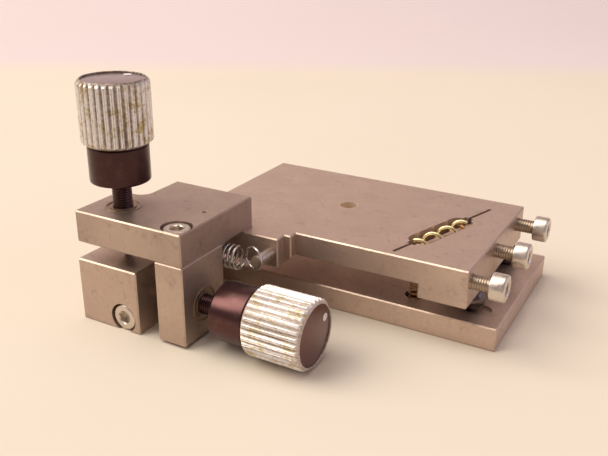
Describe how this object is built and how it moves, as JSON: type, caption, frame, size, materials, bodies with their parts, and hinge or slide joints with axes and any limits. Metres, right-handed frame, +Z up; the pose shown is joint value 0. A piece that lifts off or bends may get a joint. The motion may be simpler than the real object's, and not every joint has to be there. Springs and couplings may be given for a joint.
{
  "type": "tilt rotation stage",
  "caption": "Small ground-steel tilt and rotation stage: a platform on two balls, with two knurled fine-thread adjusters, return springs and end screws.",
  "frame": {"origin": "centre of the base plate's underside, without its forward arm", "axes": "+X along the base plate towards the end screws, -Y towards the adjusters, +Z up"},
  "size_m": [0.0804, 0.0697, 0.0501],
  "materials": {
    "ground_plate": "ground, satin, slightly stained",
    "bright_steel": "bright, fine machining marks",
    "knurled_sleeve": "straight-ridged, worn, with yellow stains",
    "black_anodised": "satin black",
    "spring_bronze": "bright gold wire",
    "spring_steel": "bright drawn wire",
    "bushing_bronze": "turned, dulled",
    "white_paint": "paint dot"
  },
  "bodies": {
    "base": {"base_plate": "ground_plate", "reaction_block": "ground_plate", "reaction_block_screw": "bright_steel", "base_spring_post": "bright_steel", "hold_down_pin_front": "bright_steel", "hold_down_pin_rear": "bright_steel", "hold_down_spring_front": "spring_bronze", "hold_down_spring_rear": "spring_bronze", "return_spring": "spring_steel"},
    "pivot": {"front_pivot_ball": "bright_steel", "rear_pivot_ball": "bright_steel"},
    "platform_group": {"platform": "ground_plate", "adjuster_arm": "ground_plate", "arm_screws": "bright_steel", "rotation_block": "ground_plate", "rotation_block_screw": "bright_steel", "rotation_block_dowel": "bright_steel", "end_screws": "bright_steel", "slot_rod": "bright_steel", "slot_spring": "spring_bronze", "tab_spring_post": "bright_steel", "tilt_bushing": "bushing_bronze", "rotation_bushing": "bushing_bronze"},
    "tilt_tip_body": {"tilt_tip": "bright_steel"},
    "tilt_knob_body": {"tilt_screw": "black_anodised", "tilt_collar": "black_anodised", "tilt_knob": "knurled_sleeve", "tilt_cap": "black_anodised", "tilt_index_dot": "white_paint"},
    "rotation_tip_body": {"rotation_tip": "bright_steel"},
    "rotation_knob_body": {"rotation_screw": "black_anodised", "rotation_collar": "black_anodised", "rotation_knob": "knurled_sleeve", "rotation_cap": "black_anodised", "rotation_index_dot": "white_paint"}
  },
  "joints": [
    {"name": "rotation", "type": "hinge", "parent": "base", "child": "pivot", "pos_m": [0.0322, 0.012, 0.00725], "axis": [0, 0, 1], "range_deg": [-2.5, 2.5], "deforming": ["return_spring"]},
    {"name": "tilt", "type": "hinge", "parent": "pivot", "child": "platform_group", "pos_m": [0.0322, 0.012, 0.00725], "axis": [0, 1, 0], "range_deg": [-0.3, 4.5], "deforming": ["hold_down_spring_front", "hold_down_spring_rear"]},
    {"name": "tilt_feed", "type": "slide", "parent": "platform_group", "child": "tilt_tip_body", "axis": [0, 0, -1], "range_m": [-0.00034, 0.00508]},
    {"name": "tilt_knob_turn", "type": "hinge", "parent": "tilt_tip_body", "child": "tilt_knob_body", "pos_m": [-0.0323, -0.04275, 0.03], "axis": [0, 0, -1], "range_deg": [-243.4, 3651]},
    {"name": "rotation_feed", "type": "slide", "parent": "platform_group", "child": "rotation_tip_body", "axis": [-1, 0, 0], "range_m": [-0.0024, 0.0024]},
    {"name": "rotation_knob_turn", "type": "hinge", "parent": "rotation_tip_body", "child": "rotation_knob_body", "pos_m": [0, -0.04275, 0.0072], "axis": [-1, 0, 0], "range_deg": [-1721.7, 1721.7]}
  ],
  "couplings": [
    {"joint": "tilt_knob_turn", "follows": "tilt", "ratio": 810.53},
    {"joint": "tilt_feed", "follows": "tilt", "m_per_rad": 0.0645},
    {"joint": "rotation_knob_turn", "follows": "rotation", "ratio": 688.01},
    {"joint": "rotation_feed", "follows": "rotation", "m_per_rad": 0.05475}
  ]
}
